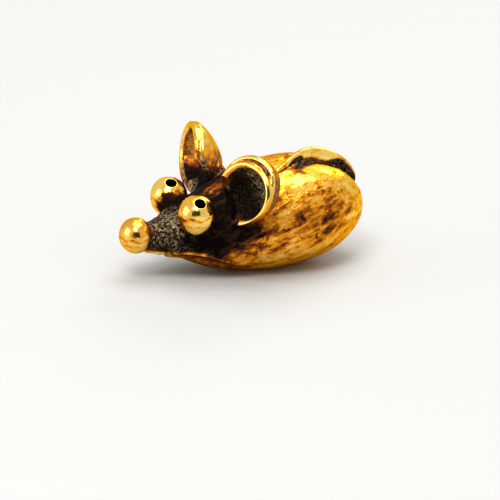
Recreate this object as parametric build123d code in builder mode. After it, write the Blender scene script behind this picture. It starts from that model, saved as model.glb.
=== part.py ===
from build123d import *
import os
from math import atan2, cos, degrees, pi, radians, sin, sqrt

# Driving sizes in millimetres: the nose points to -X, the mouse's left side is -Y, +Z is up
total_length = 13.8

# Body
body_width = 6.4
body_widest_setback = 9.4
back_height = 5.65
back_top_setback = 9.6
belly_filed_off = 0.15
belly_low_setback = 8.2
rump_height = 2.9
snout_setback = 1.38
snout_width = 1.4
snout_top = 2.9
snout_bottom = 1.45
nape_hollow = 1.4
front_section_shares = (0, 0.2, 0.5, 0.75, 1)
rump_section_angles = (35, 60, 78, 87)

# Nose and eyes
nose_diameter = 1.86
nose_height = 2.38
eye_diameter = 1.96
eye_setback = 3.5
eye_spacing = 3.1
eye_height = 3.75
eye_seat_depth = 0.62
eye_seat_lean = 38
eye_boss_root_diameter = 1.2
eye_boss_length = 1.0
pupil_diameter = 0.56
pupil_depth = 0.8
pupil_left_lean = 36
pupil_right_lean = 26
pupil_ahead = 7
solder_gap = 0.02

# Mouth nick under the snout
mouth_setback = 2.45
mouth_diameter = 0.34

# Ears: both have one cup, but each is set on the head by hand
ear_height = 5.2
ear_diameter = 3.75
ear_hollow_diameter = 2.7
ear_depth = 1.1
ear_back_depth = 1.75
ear_ridge_width = 0.36
ear_ridge_height = 0.12
ear_bead_width = 0.3
ear_bead_height = 0.16
ear_bead_setback = 0.3
ear_groove_rise = 0.2
ear_root_diameter = 1.9
ear_root_inward = 0.6
ear_root_drop = 0.9
ear_root_behind = 1.1
ear_scallop_diameter = 4.0
ear_scallop_offset = 2.0
ear_scallop_ahead = 1.2
ear_scallop_turn = 217
left_ear_setback = 5.45
left_ear_offset = 3.05
left_ear_turn_out = 24
left_ear_tilt_up = 14
left_ear_hollow_inward = 0.1
left_ear_hollow_low = 0.15
right_ear_setback = 5.3
right_ear_offset = 2.94
right_ear_turn_out = 15
right_ear_tilt_up = 5
right_ear_hollow_inward = 0.0
right_ear_hollow_low = -0.15

# Tail, its places counted forward from the end of the rump
tail_root_ahead = 0.25
tail_crest_ahead = 2.6
tail_tip_ahead = 6.0
tail_tip_offset = 1.22
tail_root_width = 0.74
tail_tip_width = 0.3
tail_height = 0.56
tail_end_height = 0.12
tail_swell = 0.6
tail_sections = 12
tail_section_bunching = 1.5

# Stations along the body, worked out from the sizes above
front_x = -total_length / 2
rear_x = total_length / 2
snout_x = front_x + snout_setback
widest_x = front_x + body_widest_setback
back_top_x = front_x + back_top_setback
belly_low_x = front_x + belly_low_setback
nose_x = front_x + nose_diameter / 2
eye_x = front_x + eye_setback
mouth_x = front_x + mouth_setback
tail_root_x = rear_x - tail_root_ahead
tail_crest_x = rear_x - tail_crest_ahead
tail_tip_x = rear_x - tail_tip_ahead
slope_step = total_length / 1000


def skin_line(x, peak_x, at_snout, at_peak, at_rump, hollow):
    """One line of the skin at station x: a quarter sine up to its peak, a quarter ellipse behind."""
    if x <= peak_x:
        share = (x - snout_x) / (peak_x - snout_x)
        return at_snout + (at_peak - at_snout) * sin(share * pi / 2) ** hollow
    share = (x - peak_x) / (rear_x - peak_x)
    return at_rump + (at_peak - at_rump) * sqrt(1 - share**2)


def half_width(x):
    return skin_line(x, widest_x, snout_width / 2, body_width / 2, 0, 1)


def back(x):
    return skin_line(x, back_top_x, snout_top, back_height, rump_height, nape_hollow)


def belly(x):
    return skin_line(x, belly_low_x, snout_bottom, -belly_filed_off, rump_height, 1)


def middle(x):
    return (back(x) + belly(x)) / 2


def skin_height(x, y):
    """Height of the upper skin at station x, y to the side."""
    return middle(x) + (back(x) - middle(x)) * sqrt(1 - (y / half_width(x)) ** 2)


def eye_seat(side):
    """The plane through an eye's middle, its normal leaning outwards from the head."""
    lean = radians(eye_seat_lean)
    place = (eye_x, side * eye_spacing / 2, eye_height)
    return Plane(origin=place, x_dir=(1, 0, 0), z_dir=(0, side * sin(lean), cos(lean)))


def eye_bead(side, gap):
    """An eye's bead with a flat solder face, grown all over by a gap."""
    with BuildPart() as bead_ball:
        with Locations(eye_seat(side)):
            Sphere(eye_diameter / 2 + gap)
        split(bisect_by=eye_seat(side).offset(-eye_seat_depth - gap), keep=Keep.TOP)
    return bead_ball.part


# Body: sections from the snout to the rump, belly filed flat at z = 0, with seats for nose and eyes
front_stations = [snout_x + (widest_x - snout_x) * share for share in front_section_shares]
rump_stations = [widest_x + (rear_x - widest_x) * sin(radians(angle)) for angle in rump_section_angles]
with BuildPart() as skin:
    for x in front_stations + rump_stations:
        with BuildSketch(Plane.YZ.offset(x)):
            with Locations((0, middle(x))):
                Ellipse(half_width(x), back(x) - middle(x))
    loft()
    split(bisect_by=Plane.XY, keep=Keep.TOP)

eye_seat_radius = sqrt((eye_diameter / 2) ** 2 - eye_seat_depth**2)
eye_rooms = [eye_bead(side, solder_gap) for side in (-1, 1)]
with BuildPart() as body:
    add(skin.part)
    for side in (-1, 1):
        with Locations(eye_seat(side).offset(-eye_seat_depth - solder_gap)):
            Cone(
                eye_boss_root_diameter / 2,
                eye_seat_radius,
                eye_boss_length,
                align=(Align.CENTER, Align.CENTER, Align.MAX),
            )
    for room in eye_rooms:
        add(room, mode=Mode.SUBTRACT)
    with Locations((nose_x, 0, nose_height)):
        Sphere(nose_diameter / 2 + solder_gap, mode=Mode.SUBTRACT)
    with Locations(Plane(origin=(mouth_x, 0, belly(mouth_x)), x_dir=(1, 0, 0), z_dir=(0, 1, 0))):
        Cylinder(mouth_diameter / 2, body_width, mode=Mode.SUBTRACT)
body.part.label = "body"

# Nose: a ball in the cup at the tip of the snout
with BuildPart() as nose:
    with Locations((nose_x, 0, nose_height)):
        Sphere(nose_diameter / 2)
nose.part.label = "nose"


def pupil_floor(side, lean):
    """The plane of a pupil's floor, its normal along the hole, which leans to the left and ahead."""
    across = cos(radians(pupil_ahead))
    normal = (-sin(radians(pupil_ahead)), -sin(radians(lean)) * across, cos(radians(lean)) * across)
    place = Plane(origin=(eye_x, side * eye_spacing / 2, eye_height), x_dir=(1, 0, 0), z_dir=normal)
    return place.offset(eye_diameter / 2 - pupil_depth)


# Eyes: beads on a flat solder face, each with a blind pupil drilled from the top
with BuildPart() as eye_left:
    add(eye_bead(-1, 0))
    with Locations(pupil_floor(-1, pupil_left_lean)):
        Cylinder(
            pupil_diameter / 2,
            eye_diameter,
            align=(Align.CENTER, Align.CENTER, Align.MIN),
            mode=Mode.SUBTRACT,
        )
eye_left.part.label = "eye_left"

with BuildPart() as eye_right:
    add(eye_bead(1, 0))
    with Locations(pupil_floor(1, pupil_right_lean)):
        Cylinder(
            pupil_diameter / 2,
            eye_diameter,
            align=(Align.CENTER, Align.CENTER, Align.MIN),
            mode=Mode.SUBTRACT,
        )
eye_right.part.label = "eye_right"

ear_radius = ear_diameter / 2
hollow_radius = ear_hollow_diameter / 2
hollow_ball = (hollow_radius**2 + ear_depth**2) / (2 * ear_depth)
back_rise = ear_back_depth - ear_bead_setback
back_ball = (ear_radius**2 + back_rise**2) / (2 * back_rise)
back_sweep = 90 - degrees(atan2(back_ball - back_rise, ear_radius))
groove_top = ear_groove_rise - ear_bead_setback
scallop_x = ear_scallop_offset * cos(radians(ear_scallop_turn))
scallop_y = ear_scallop_offset * sin(radians(ear_scallop_turn))


def ear(side, setback, offset, turn_out, tilt_up, hollow_inward, hollow_low):
    """A deep cup seated on the skin, with a bead around its back and a ridge around its hollow.

    The hollow lies off the middle, so that the groove between bead and ridge is a crescent."""
    turn, tilt = radians(turn_out), radians(tilt_up)
    place = Vector(front_x + setback, side * offset, ear_height)
    opening = Vector(-cos(turn) * cos(tilt), side * sin(turn) * cos(tilt), sin(tilt))
    across = Vector(sin(turn), side * cos(turn), 0)
    cup_plane = Plane(origin=place, x_dir=across, z_dir=opening)
    hollow_place = cup_plane.from_local_coords(Vector(-hollow_inward, side * hollow_low, 0))
    with BuildPart() as cup:
        with BuildSketch(Plane(origin=place, x_dir=across, z_dir=across.cross(opening))):
            with BuildLine():
                Polyline(
                    (0, -ear_back_depth),
                    (0, groove_top),
                    (hollow_radius, groove_top),
                    (ear_radius - ear_bead_width, -ear_bead_setback),
                    (ear_radius - ear_bead_width / 2, ear_bead_height - ear_bead_setback),
                    (ear_radius, -ear_bead_setback),
                )
                CenterArc((0, back_ball - ear_back_depth), back_ball, -90, back_sweep)
            make_face()
        revolve(axis=Axis(place, opening))
        with BuildSketch(Plane(origin=hollow_place, x_dir=across, z_dir=across.cross(opening))):
            with BuildLine():
                Polyline(
                    (0, -ear_bead_setback),
                    (0, 0),
                    (hollow_radius, 0),
                    (hollow_radius + ear_ridge_width / 2, ear_ridge_height),
                    (hollow_radius + ear_ridge_width, -ear_bead_setback),
                    close=True,
                )
            make_face()
        revolve(axis=Axis(hollow_place, opening))
        with Locations(cup_plane):
            with Locations((-ear_root_inward, side * ear_root_drop, -ear_root_behind)):
                Sphere(ear_root_diameter / 2)
            with Locations((-hollow_inward, side * hollow_low, hollow_ball - ear_depth)):
                Sphere(hollow_ball, mode=Mode.SUBTRACT)
            with Locations((scallop_x, -side * scallop_y, ear_scallop_ahead)):
                Sphere(ear_scallop_diameter / 2, mode=Mode.SUBTRACT)
        add(skin.part, mode=Mode.SUBTRACT)
    return cup.part


# Ears: cups that open ahead and a little outwards, seated on the skin
with BuildPart() as ear_left:
    add(
        ear(
            -1,
            left_ear_setback,
            left_ear_offset,
            left_ear_turn_out,
            left_ear_tilt_up,
            left_ear_hollow_inward,
            left_ear_hollow_low,
        )
    )
ear_left.part.label = "ear_left"

with BuildPart() as ear_right:
    add(
        ear(
            1,
            right_ear_setback,
            right_ear_offset,
            right_ear_turn_out,
            right_ear_tilt_up,
            right_ear_hollow_inward,
            right_ear_hollow_low,
        )
    )
ear_right.part.label = "ear_right"


def tail_track(share):
    """Station and side offset of the tail's middle line, from its root on the rump to its tip."""
    x = tail_root_x + (tail_tip_x - tail_root_x) * share
    drift = max(0, (tail_crest_x - x) / (tail_crest_x - tail_tip_x))
    return x, -tail_tip_offset * drift**2 * (3 - 2 * drift)


def tail_plane(share):
    """The plane across the tail on its middle line, its y axis straight out of the skin."""
    x, y = tail_track(share)
    next_x, next_y = tail_track(share + slope_step)
    place = Vector(x, y, skin_height(x, y))
    along = Vector(next_x, next_y, skin_height(next_x, next_y)) - place
    rise = skin_height(x + slope_step, y) - skin_height(x - slope_step, y)
    cant = skin_height(x, y + slope_step) - skin_height(x, y - slope_step)
    outwards = Vector(-rise, -cant, 2 * slope_step)
    return Plane(origin=place, x_dir=outwards.cross(along), z_dir=along)


def skin_under(plane, offset):
    """Where the skin lies in a plane across the tail, offset to the side of its middle line."""
    side = plane.from_local_coords(Vector(offset, 0, 0))
    return (skin_height(side.X, side.Y) - side.Z) * plane.y_dir.Z


# Tail: a tapered half-round laid over the rump and along the back, its underside following the skin
with BuildPart() as tail:
    for section in range(tail_sections + 1):
        share = (section / tail_sections) ** tail_section_bunching
        plane = tail_plane(share)
        half = (tail_root_width + (tail_tip_width - tail_root_width) * share) / 2
        top = tail_end_height + (tail_height - tail_end_height) * sin(pi * share**tail_swell)
        near_side = (-half, skin_under(plane, -half) + solder_gap)
        far_side = (half, skin_under(plane, half) + solder_gap)
        with BuildSketch(plane):
            with BuildLine():
                ThreePointArc(near_side, (0, solder_gap), far_side)
                ThreePointArc(near_side, (0, top), far_side)
            make_face()
    loft(ruled=True)
tail.part.label = "tail"

os.makedirs("parts", exist_ok=True)
export_step(body.part, "parts/body.step")
export_step(nose.part, "parts/nose.step")
export_step(eye_left.part, "parts/eye_left.step")
export_step(eye_right.part, "parts/eye_right.step")
export_step(ear_left.part, "parts/ear_left.step")
export_step(ear_right.part, "parts/ear_right.step")
export_step(tail.part, "parts/tail.step")
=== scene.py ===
"""Cast brass mouse miniature: shaped pieces, materials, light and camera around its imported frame."""

from math import atan2, cos, exp, pi, radians, sin, sqrt, tan, tau
from types import SimpleNamespace

import bpy
from bpy.props import FloatProperty, FloatVectorProperty, PointerProperty
from mathutils import Matrix, Vector, noise


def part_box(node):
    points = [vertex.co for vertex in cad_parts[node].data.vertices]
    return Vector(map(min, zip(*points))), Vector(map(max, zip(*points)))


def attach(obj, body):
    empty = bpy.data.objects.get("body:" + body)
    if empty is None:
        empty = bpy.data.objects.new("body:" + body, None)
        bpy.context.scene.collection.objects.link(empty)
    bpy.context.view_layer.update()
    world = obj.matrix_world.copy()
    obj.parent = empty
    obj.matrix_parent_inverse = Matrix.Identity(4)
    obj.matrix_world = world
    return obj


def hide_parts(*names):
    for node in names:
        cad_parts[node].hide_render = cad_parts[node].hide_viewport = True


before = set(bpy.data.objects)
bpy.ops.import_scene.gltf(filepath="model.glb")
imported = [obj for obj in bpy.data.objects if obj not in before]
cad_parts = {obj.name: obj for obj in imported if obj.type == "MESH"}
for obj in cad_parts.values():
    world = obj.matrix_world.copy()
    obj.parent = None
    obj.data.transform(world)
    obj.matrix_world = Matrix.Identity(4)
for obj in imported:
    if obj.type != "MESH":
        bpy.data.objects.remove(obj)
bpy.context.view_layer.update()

bl_info = {
    "name": "Cast Brass Mouse",
    "version": (1, 0, 0),
    "blender": (4, 5, 0),
    "location": "3D View > Sidebar > Mouse",
    "description": "Builds a brass mouse miniature around its CAD frame, with its light and camera",
    "category": "Object",
}

# Pieces are shaped on a bench a thousand times real size, so that one bench unit is a millimetre.
BENCH = 1000.0
MERGE = 0.0005  # bench millimetres within which a wrapped grid's seam and poles close
SIDES = {"left": -1, "right": 1}  # the way along y from the middle of the mouse


def linear(code):
    """An sRGB hex colour as linear red, green and blue."""
    parts = [int(code[at : at + 2], 16) / 255 for at in (1, 3, 5)]
    return [part / 12.92 if part <= 0.04045 else ((part + 0.055) / 1.055) ** 2.4 for part in parts]


def length(name, description, millimetres):
    """A length property with its default in millimetres."""
    return FloatProperty(
        name=name, description=description, default=millimetres / BENCH, unit="LENGTH", precision=5
    )


def angle(name, description, degrees):
    """An angle property with its default in degrees."""
    return FloatProperty(name=name, description=description, default=radians(degrees), subtype="ANGLE")


def number(name, description, default):
    """A plain number property."""
    return FloatProperty(name=name, description=description, default=default)


def colour(name, description, code):
    """A colour property with its default as an sRGB hex colour."""
    return FloatVectorProperty(
        name=name, description=description, default=linear(code), subtype="COLOR", min=0, max=1
    )


class MouseBody(bpy.types.PropertyGroup):
    """Sizes of the cast body"""

    width: length("Width", "Across the flanks at the widest", 6.4)
    widest_setback: length("Widest at", "Widest section behind the nose", 9.4)
    back_height: length("Back height", "Top of the back above the ground", 5.65)
    back_setback: length("Back at", "Top of the back behind the nose", 9.6)
    belly_drop: length("Belly drop", "How far the belly is filed off", 0.15)
    belly_setback: length("Belly at", "Lowest belly behind the nose", 8.2)
    rump_height: length("Rump height", "Rearmost point above the ground", 2.9)
    snout_setback: length("Snout at", "End of the snout behind the nose", 1.38)
    snout_width: length("Snout width", "Across the end of the snout", 1.4)
    snout_top: length("Snout top", "Top of the snout's end", 2.9)
    snout_bottom: length("Snout bottom", "Underside of the snout's end", 1.45)
    nape_hollow: number("Nape hollow", "How much the nape dips between head and back", 1.4)
    jaw_height: length("Jaw height", "Ridge along the jaw, above the ground", 1.56)
    flank_height: length("Flank edge", "Where the jaw ridge runs out along the flank", 0.88)
    jaw_rise: length("Jaw rise", "How far the jaw ridge stands out", 0.08)
    groove_share: number("Jaw groove", "Depth of the groove under the jaw ridge against its rise", 0.6)
    mouth_setback: length("Mouth at", "Mouth nick behind the nose", 2.35)
    mouth_depth: length("Mouth depth", "Depth of the mouth nick", 0.24)
    collar_rise: length("Collar rise", "Fillet of metal around the foot of each eye", 0.2)
    trench_depth: length("Trench depth", "Groove along each side of the tail", 0.2)
    unevenness: length("Unevenness", "Waviness left by casting and filing", 0.03)


class MouseBalls(bpy.types.PropertyGroup):
    """Sizes of the nose and eyes"""

    pupil_angle: angle("Pupil width", "Half angle that the pupil takes of the eye", 17.5)
    pupil_depth: length("Pupil depth", "Depth of the drilled pupil", 0.8)
    pupil_edge: length("Pupil edge", "Rounding of the pupil's edge", 0.05)
    pupil_ahead: angle("Pupils ahead", "Lean of both pupils to the nose", 7)
    left_pupil_lean: angle("Left pupil lean", "Lean of the left pupil to the mouse's left", 36)
    right_pupil_lean: angle("Right pupil lean", "Lean of the right pupil to the mouse's left", 26)
    eye_drop: number("Eye drop", "Lower half of each eye against its upper half", 1.22)
    nose_depth: number("Nose depth", "Nose from front to back against its width", 0.91)
    nose_height: number("Nose height", "Height of the nose against its width", 1.03)
    neck_angle: angle("Neck width", "Half angle that the neck takes of the nose", 34)
    neck_length: length("Neck length", "From the back of the nose into its cup", 0.4)
    seat_lean: angle("Seat lean", "Lean of each eye's seat to its side", 38)
    ripple: length("Ripple", "Unevenness left by hand polishing", 0.045)


class MouseEars(bpy.types.PropertyGroup):
    """Sizes of the cupped ears and how each is set on the head"""

    height: length("Height", "Middle of the ear above the ground", 5.19)
    diameter: length("Diameter", "Across the outer bead", 3.74)
    hollow_diameter: length("Hollow", "Across the cupped hollow", 2.7)
    depth: length("Depth", "Depth of the hollow", 1.1)
    back_depth: length("Back depth", "From the rim to the back of the ear", 1.75)
    ridge_width: length("Ridge width", "Width of the ridge around the hollow", 0.36)
    ridge_rise: length("Ridge rise", "Ridge above the rim's plane", 0.12)
    bead_width: length("Bead width", "Width of the bead around the back", 0.3)
    bead_rise: length("Bead rise", "Bead above the groove beside it", 0.16)
    bead_setback: length("Bead setback", "Bead behind the rim's plane", 0.3)
    groove_rise: length("Groove rise", "Rise of the groove from the bead to the ridge", 0.2)
    root_diameter: length("Root", "Across the root that joins the head", 1.9)
    root_inward: length("Root inward", "Root nearer the head than the ear's middle", 0.6)
    root_drop: length("Root drop", "Root below the ear's middle", 0.9)
    root_behind: length("Root behind", "Root behind the rim's plane", 1.1)
    scallop_diameter: length("Scallop", "Across the scallop where the cup meets the head", 4.0)
    scallop_offset: length("Scallop offset", "Scallop from the ear's middle", 2.0)
    scallop_ahead: length("Scallop ahead", "Scallop ahead of the rim's plane", 1.2)
    scallop_turn: angle("Scallop turn", "Way that the scallop lies from the outer side", 217)
    casting: length("Casting detail", "Finest detail that the casting keeps", 0.028)
    grain_depth: length("Grain depth", "Depth of the grain in the hollow", 0.035)
    pull_turn: angle("Pull turn", "Way that a rim is drawn in, from the outer side", -28)
    left_pull: length("Left pull", "How far the left rim is drawn in, low on its outer side", 0.34)
    left_flatness: number("Left flatness", "How straight the left ear's back falls from its top", 0.0)
    left_setback: length("Left setback", "Left ear behind the nose", 5.45)
    left_offset: length("Left offset", "Left ear from the middle", 3.05)
    left_turn_out: angle("Left turn out", "Turn of the left ear to its side", 24)
    left_tilt_up: angle("Left tilt up", "Tilt of the left ear to the sky", 14)
    left_hollow_inward: length("Left hollow inward", "Left hollow nearer the head", 0.1)
    left_hollow_low: length("Left hollow low", "Left hollow below the middle", 0.15)
    right_pull: length("Right pull", "How far the right rim is drawn in, low on its outer side", 0.0)
    right_flatness: number("Right flatness", "How straight the right ear's back falls from its top", 0.55)
    right_setback: length("Right setback", "Right ear behind the nose", 5.3)
    right_offset: length("Right offset", "Right ear from the middle", 2.94)
    right_turn_out: angle("Right turn out", "Turn of the right ear to its side", 15)
    right_tilt_up: angle("Right tilt up", "Tilt of the right ear to the sky", 5)
    right_hollow_inward: length("Right hollow inward", "Right hollow nearer the head", 0.0)
    right_hollow_low: length("Right hollow low", "Right hollow below the middle", -0.15)


class MouseTail(bpy.types.PropertyGroup):
    """Sizes of the tail"""

    root_ahead: length("Root", "Root ahead of the rump's end", 0.25)
    crest_ahead: length("Crest", "Where the tail starts to drift, ahead of the rump", 2.6)
    tip_ahead: length("Tip", "Tip ahead of the rump's end", 6.0)
    tip_offset: length("Drift", "Tip to the mouse's left", 1.22)
    root_width: length("Root width", "Width at the root", 0.74)
    tip_width: length("Tip width", "Width at the tip", 0.3)
    height: length("Height", "Most that the tail stands above the skin", 0.54)
    end_height: length("End height", "Height at both ends", 0.12)
    sunk: length("Sunk", "How far the underside lies below the skin", 0.3)
    swell: number("Swell", "Where the tail is highest: lower is nearer the root", 0.6)
    squareness: number("Squareness", "Power of the section: lower is squarer, with a broader crest", 0.75)


class MouseFinish(bpy.types.PropertyGroup):
    """Colours and grain of the brass"""

    bright: colour("Bright brass", "Polished high spots", "#ffdb70")
    gold: colour("Brass", "Handled brass", "#ee9a22")
    bronze: colour("Toned brass", "Brass toned brown", "#8a4716")
    patina: colour("Patina", "Dark brown patina", "#2e1a14")
    black: colour("Black patina", "Blackened hollows", "#040303")
    worn: colour("Worn grain", "Grains that show through the black", "#cebb90")
    edge: colour("Edge tint", "Brass seen at a glancing angle", "#ffd27c")
    streak: length("Streak width", "Width of the streaks along the body", 0.17)
    stretch: number("Streak stretch", "Length of the streaks against their width", 2.6)
    slope: angle("Streak slope", "Rise of the streaks towards the rump", 24)
    blotch: length("Blotch size", "Size of the worn and toned patches", 0.55)
    grain: length("Grain size", "Size of the casting grain in the hollows", 0.13)
    glint: length("Glint size", "Size of the grains that show through the black", 0.0715)
    pit: length("Pit size", "Size of the casting pits", 0.22)
    relief: length("Relief", "Depth of the grain in the patina", 0.05)
    polished_relief: length("Polished relief", "Depth of the grain in polished brass", 0.006)
    dullness: number("Dullness", "Roughness of the patina", 0.55)


class MouseStage(bpy.types.PropertyGroup):
    """Floor, light and camera"""

    scale: number("Picture scale", "Pixels of a 500 pixel picture to a millimetre", 19.36)
    distance: length("Camera distance", "From the camera to the mouse", 300)
    elevation: angle("Elevation", "Camera above the horizon", 19.4)
    turn: angle("Turn", "Camera round from square to the left flank", 29.2)
    roll: angle("Roll", "Camera's roll", 3.06)
    sky: number("Sky", "Strength of the light from all round", 0.8)
    floor: colour("Floor", "Pale floor", "#b2b2b0")
    card: colour("Card", "Dark card behind the camera", "#241a14")


def bench(group):
    """A property group's values with its lengths in bench millimetres."""
    values = {}
    for key, prop in group.bl_rna.properties.items():
        if key not in ("rna_type", "name"):
            value = getattr(group, key)
            values[key] = value * BENCH if getattr(prop, "unit", "") == "LENGTH" else value
    return SimpleNamespace(**values)


# The forms and the finish change over zones, which are pairs of numbers. A pair for ease() is where a
# change starts and where it is complete. A pair for hump() is a middle and a reach. They are bench
# millimetres along an axis or from a place, or the upward part of a normal where a name says slope.
# Tones are steps of polish, from 0 for black patina to 1 for bright brass. Grit is the share of grains
# that show through the black.
def ease(zone, value):
    """0 at the zone's start and 1 at its end, with a smooth run between."""
    start, end = zone
    part = clamp((value - start) / (end - start))
    return part * part * (3 - 2 * part)


def hump(zone, value):
    """1 at the zone's middle, falling away to nothing beyond its reach."""
    middle, reach = zone
    return exp(-(((value - middle) / reach) ** 2))


def clamp(value):
    """The value kept between 0 and 1."""
    return min(max(value, 0.0), 1.0)


class Skin:
    """The body's smooth skin and the tail's track over it, in bench millimetres."""

    JAW_SINKS = (-3.4, -0.6)  # along x, from the jaw's height to the flank's edge
    JAW_FADES = (-1.8, 1.2)  # along x

    def __init__(self, scene):
        self.body = bench(scene.mouse_body)
        self.tail = bench(scene.mouse_tail)
        self.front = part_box("nose")[0].x * BENCH
        self.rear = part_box("body")[1].x * BENCH
        self.snout = self.front + self.body.snout_setback

    def line(self, x, peak, at_snout, at_peak, at_rump, hollow=1.0):
        """A driving line at x: a sine from the snout to the peak, then an ellipse to the rump."""
        if x <= peak:
            part = max((x - self.snout) / (peak - self.snout), 0.0)
            return at_snout + (at_peak - at_snout) * sin(part * pi / 2) ** hollow
        part = min((x - peak) / (self.rear - peak), 1.0)
        return at_rump + (at_peak - at_rump) * sqrt(1 - part * part)

    def half_width(self, x):
        """Half the width over the flanks at x."""
        body = self.body
        widest = self.front + body.widest_setback
        return self.line(x, widest, body.snout_width / 2, body.width / 2, 0.0)

    def section(self, x):
        """Middle height and half the height of the section at x."""
        body = self.body
        top = self.front + body.back_setback
        back = self.line(x, top, body.snout_top, body.back_height, body.rump_height, body.nape_hollow)
        low = self.front + body.belly_setback
        belly = self.line(x, low, body.snout_bottom, -body.belly_drop, body.rump_height)
        middle = (back + belly) / 2
        return middle, back - middle

    def point(self, x, turn):
        """The skin at x, turned up from the left flank: a quarter turn is the middle of the back."""
        middle, rise = self.section(x)
        return Vector((x, -self.half_width(x) * cos(turn), middle + rise * sin(turn)))

    def height(self, x, y):
        """Height of the upper skin over a place on the ground."""
        middle, rise = self.section(x)
        aside = min(abs(y) / max(self.half_width(x), MERGE), 1.0)
        return middle + rise * sqrt(1 - aside * aside)

    def tail_offset(self, x):
        """The tail's sideways place where it passes x."""
        tail = self.tail
        return -tail.tip_offset * ease((self.rear - tail.crest_ahead, self.rear - tail.tip_ahead), x)

    def jaw(self, x):
        """Height of the jaw ridge and how strongly it shows at x."""
        body = self.body
        height = body.jaw_height + (body.flank_height - body.jaw_height) * ease(self.JAW_SINKS, x)
        return height, 1 - ease(self.JAW_FADES, x)


def add_shape(name, primitive, **sizes):
    """Adds a primitive of the given sizes under a name, with nothing else selected."""
    bpy.ops.object.select_all(action="DESELECT")
    primitive(**sizes)
    piece = bpy.context.object
    piece.name = piece.data.name = name
    return piece


def take(piece):
    """Selects the piece alone and makes it the active one."""
    bpy.ops.object.select_all(action="DESELECT")
    piece.select_set(True)
    bpy.context.view_layer.objects.active = piece


def paint(piece, **layers):
    """Stores values of each vertex as the attributes that the brass reads: its polish and its grit."""
    for name, values in layers.items():
        piece.data.attributes.new(name, "FLOAT", "POINT").data.foreach_set("value", values)


def wrap_grid(name, columns, rows, place, tone=None):
    """Adds a grid and lays its vertices where place(along, around) says; both run from 0 to 1.

    tone(along, around) gives their polish, where that goes by the grid."""
    piece = add_shape(
        name, bpy.ops.mesh.primitive_grid_add, x_subdivisions=columns, y_subdivisions=rows, size=1
    )
    # The grid is one unit wide around the origin.
    shares = [(vertex.co.x + 0.5, vertex.co.y + 0.5) for vertex in piece.data.vertices]
    for vertex, (along, around) in zip(piece.data.vertices, shares):
        vertex.co = place(along, around)
    if tone is not None:
        paint(piece, polish=[tone(along, around) for along, around in shares])
    bpy.ops.object.mode_set(mode="EDIT")
    bpy.ops.mesh.select_all(action="SELECT")
    bpy.ops.mesh.remove_doubles(threshold=MERGE)
    bpy.ops.mesh.normals_make_consistent(inside=False)
    bpy.ops.object.mode_set(mode="OBJECT")
    return piece


def pick(piece, vertices):
    """Selects the listed vertices of the piece, with the edges and faces between them, in edit mode."""
    bpy.ops.object.mode_set(mode="EDIT")
    bpy.ops.mesh.select_mode(type="VERT")
    bpy.ops.mesh.select_all(action="DESELECT")
    bpy.ops.object.mode_set(mode="OBJECT")
    for index in vertices:
        piece.data.vertices[index].select = True
    bpy.ops.object.mode_set(mode="EDIT")


def finish_piece(piece, node, material, crease=None):
    """Shrinks a piece from the bench to real size, shades it and hands it to the frame."""
    take(piece)
    piece.matrix_world = Matrix.Scale(1 / BENCH, 4) @ piece.matrix_world
    bpy.ops.object.transform_apply(location=True, rotation=True, scale=True)
    if crease is None:
        bpy.ops.object.shade_smooth()
    else:
        bpy.ops.object.shade_smooth_by_angle(angle=crease)
    piece.data.materials.clear()
    piece.data.materials.append(material)
    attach(piece, "root")
    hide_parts(node)


def add_node(tree, kind, output, inputs=None, **settings):
    """Adds a node with its settings and links, and returns its named output, or the node if it has none."""
    node = tree.nodes.new(kind)
    for key, value in settings.items():
        setattr(node, key, value)
    for key, value in (inputs or {}).items():
        if isinstance(value, bpy.types.NodeSocket):
            tree.links.new(value, node.inputs[key])
        else:
            node.inputs[key].default_value = value
    return node.outputs[output] if output else node


# Steps of tone in the brass: where each colour stands, and where the surface turns to bare, smooth metal.
TONES = SimpleNamespace(patina=0.18, bronze=0.4, gold=0.64, dull=0.1, bare=0.4, smooth=0.75)
STEADY = SimpleNamespace(share=0.3, until=0.35)  # share of the straying in black patina; full from here
STREAK_RELIEF = 1.5  # depth of the streaks against that of the grain
PATINA_GLEAM = 0.03  # specular level: the patina is matt, and bare metal doesn't depend on this


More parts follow.
